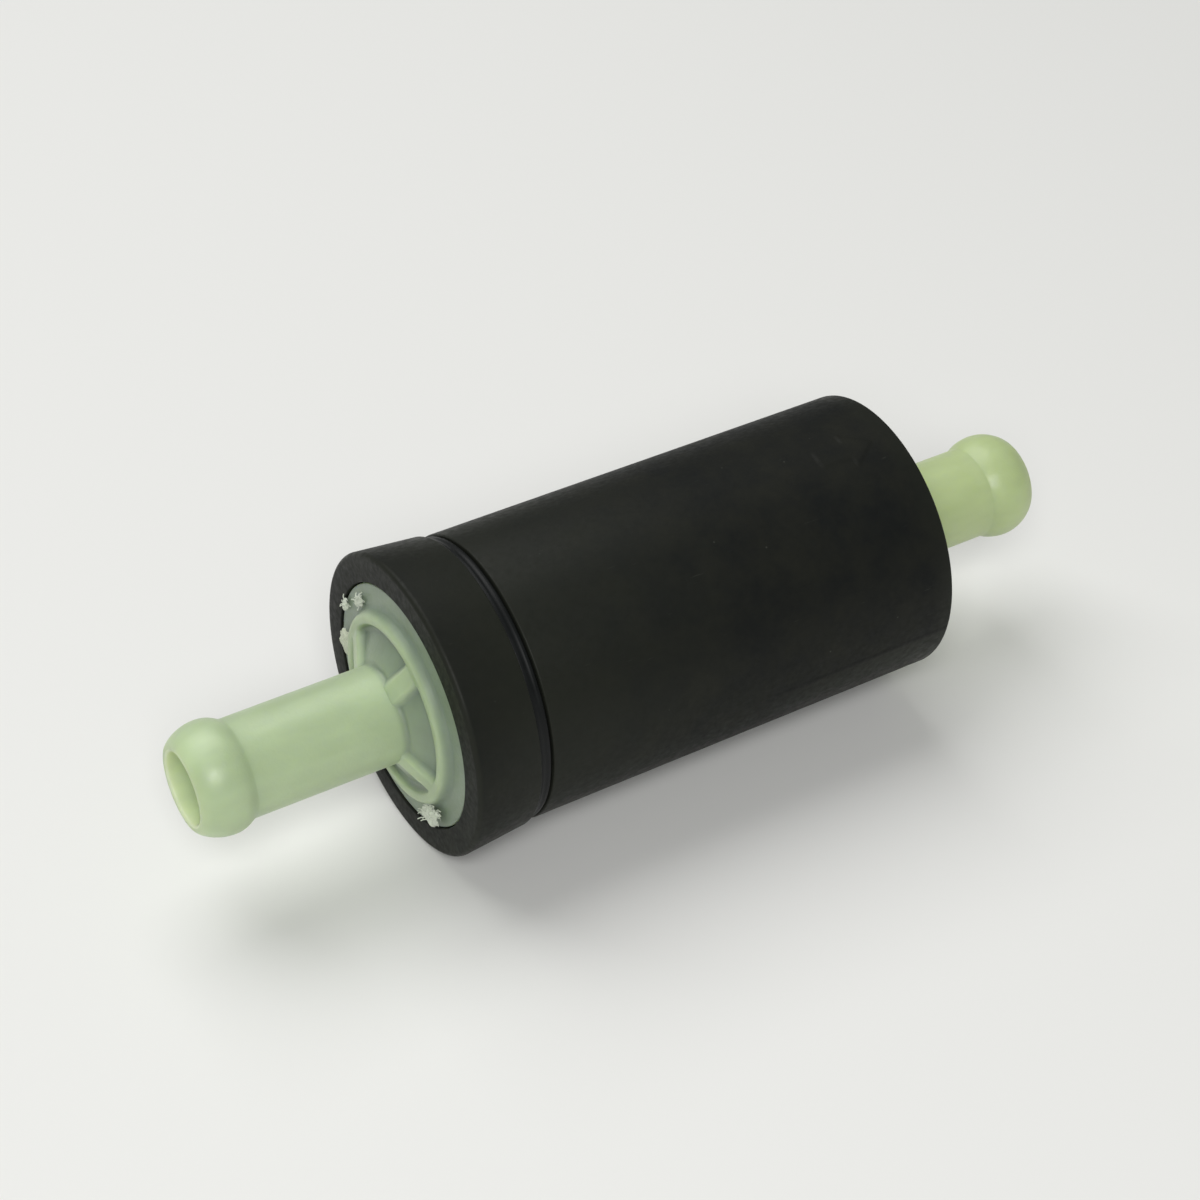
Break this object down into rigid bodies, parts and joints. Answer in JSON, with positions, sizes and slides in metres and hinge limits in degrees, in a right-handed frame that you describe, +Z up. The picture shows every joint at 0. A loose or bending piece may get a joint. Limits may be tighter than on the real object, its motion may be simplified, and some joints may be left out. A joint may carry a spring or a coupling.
{
  "type": "fuel filter",
  "caption": "Inline fuel filter with a black round can, a flared collar at the inlet end and a beaded nylon hose spigot at each end.",
  "frame": {"origin": "centre of the overall box, on the can's axis half way between the two spigot tips", "axes": "+X along the fuel's way from the inlet spigot to the outlet spigot, +Z up with the filter lying on its side"},
  "size_m": [0.0784, 0.0256, 0.0256],
  "materials": {
    "black_nylon": "moulded, satin, faintly mottled",
    "seal_rubber": "smooth and glossy",
    "natural_nylon": "moulded, smooth, slightly see-through",
    "nitrile_rubber": "moulded, matte",
    "white_nylon": "moulded, satin",
    "potting_resin": "cast, slightly glossy",
    "filter_paper": "resin-soaked paper, fibrous",
    "tinplate": "rolled and folded"
  },
  "bodies": {
    "root": {"housing_can": "black_nylon", "front_collar": "black_nylon", "joint_seal": "seal_rubber", "inlet_fitting": "natural_nylon", "outlet_fitting": "natural_nylon", "inlet_o_ring": "nitrile_rubber", "outlet_o_ring": "nitrile_rubber", "element_grommet": "nitrile_rubber", "inlet_end_disc": "white_nylon", "outlet_end_disc": "white_nylon", "inlet_potting": "potting_resin", "outlet_potting": "potting_resin", "media_core": "white_nylon", "filter_media": "filter_paper", "pleat_seam_clip": "tinplate"}
  },
  "joints": []
}
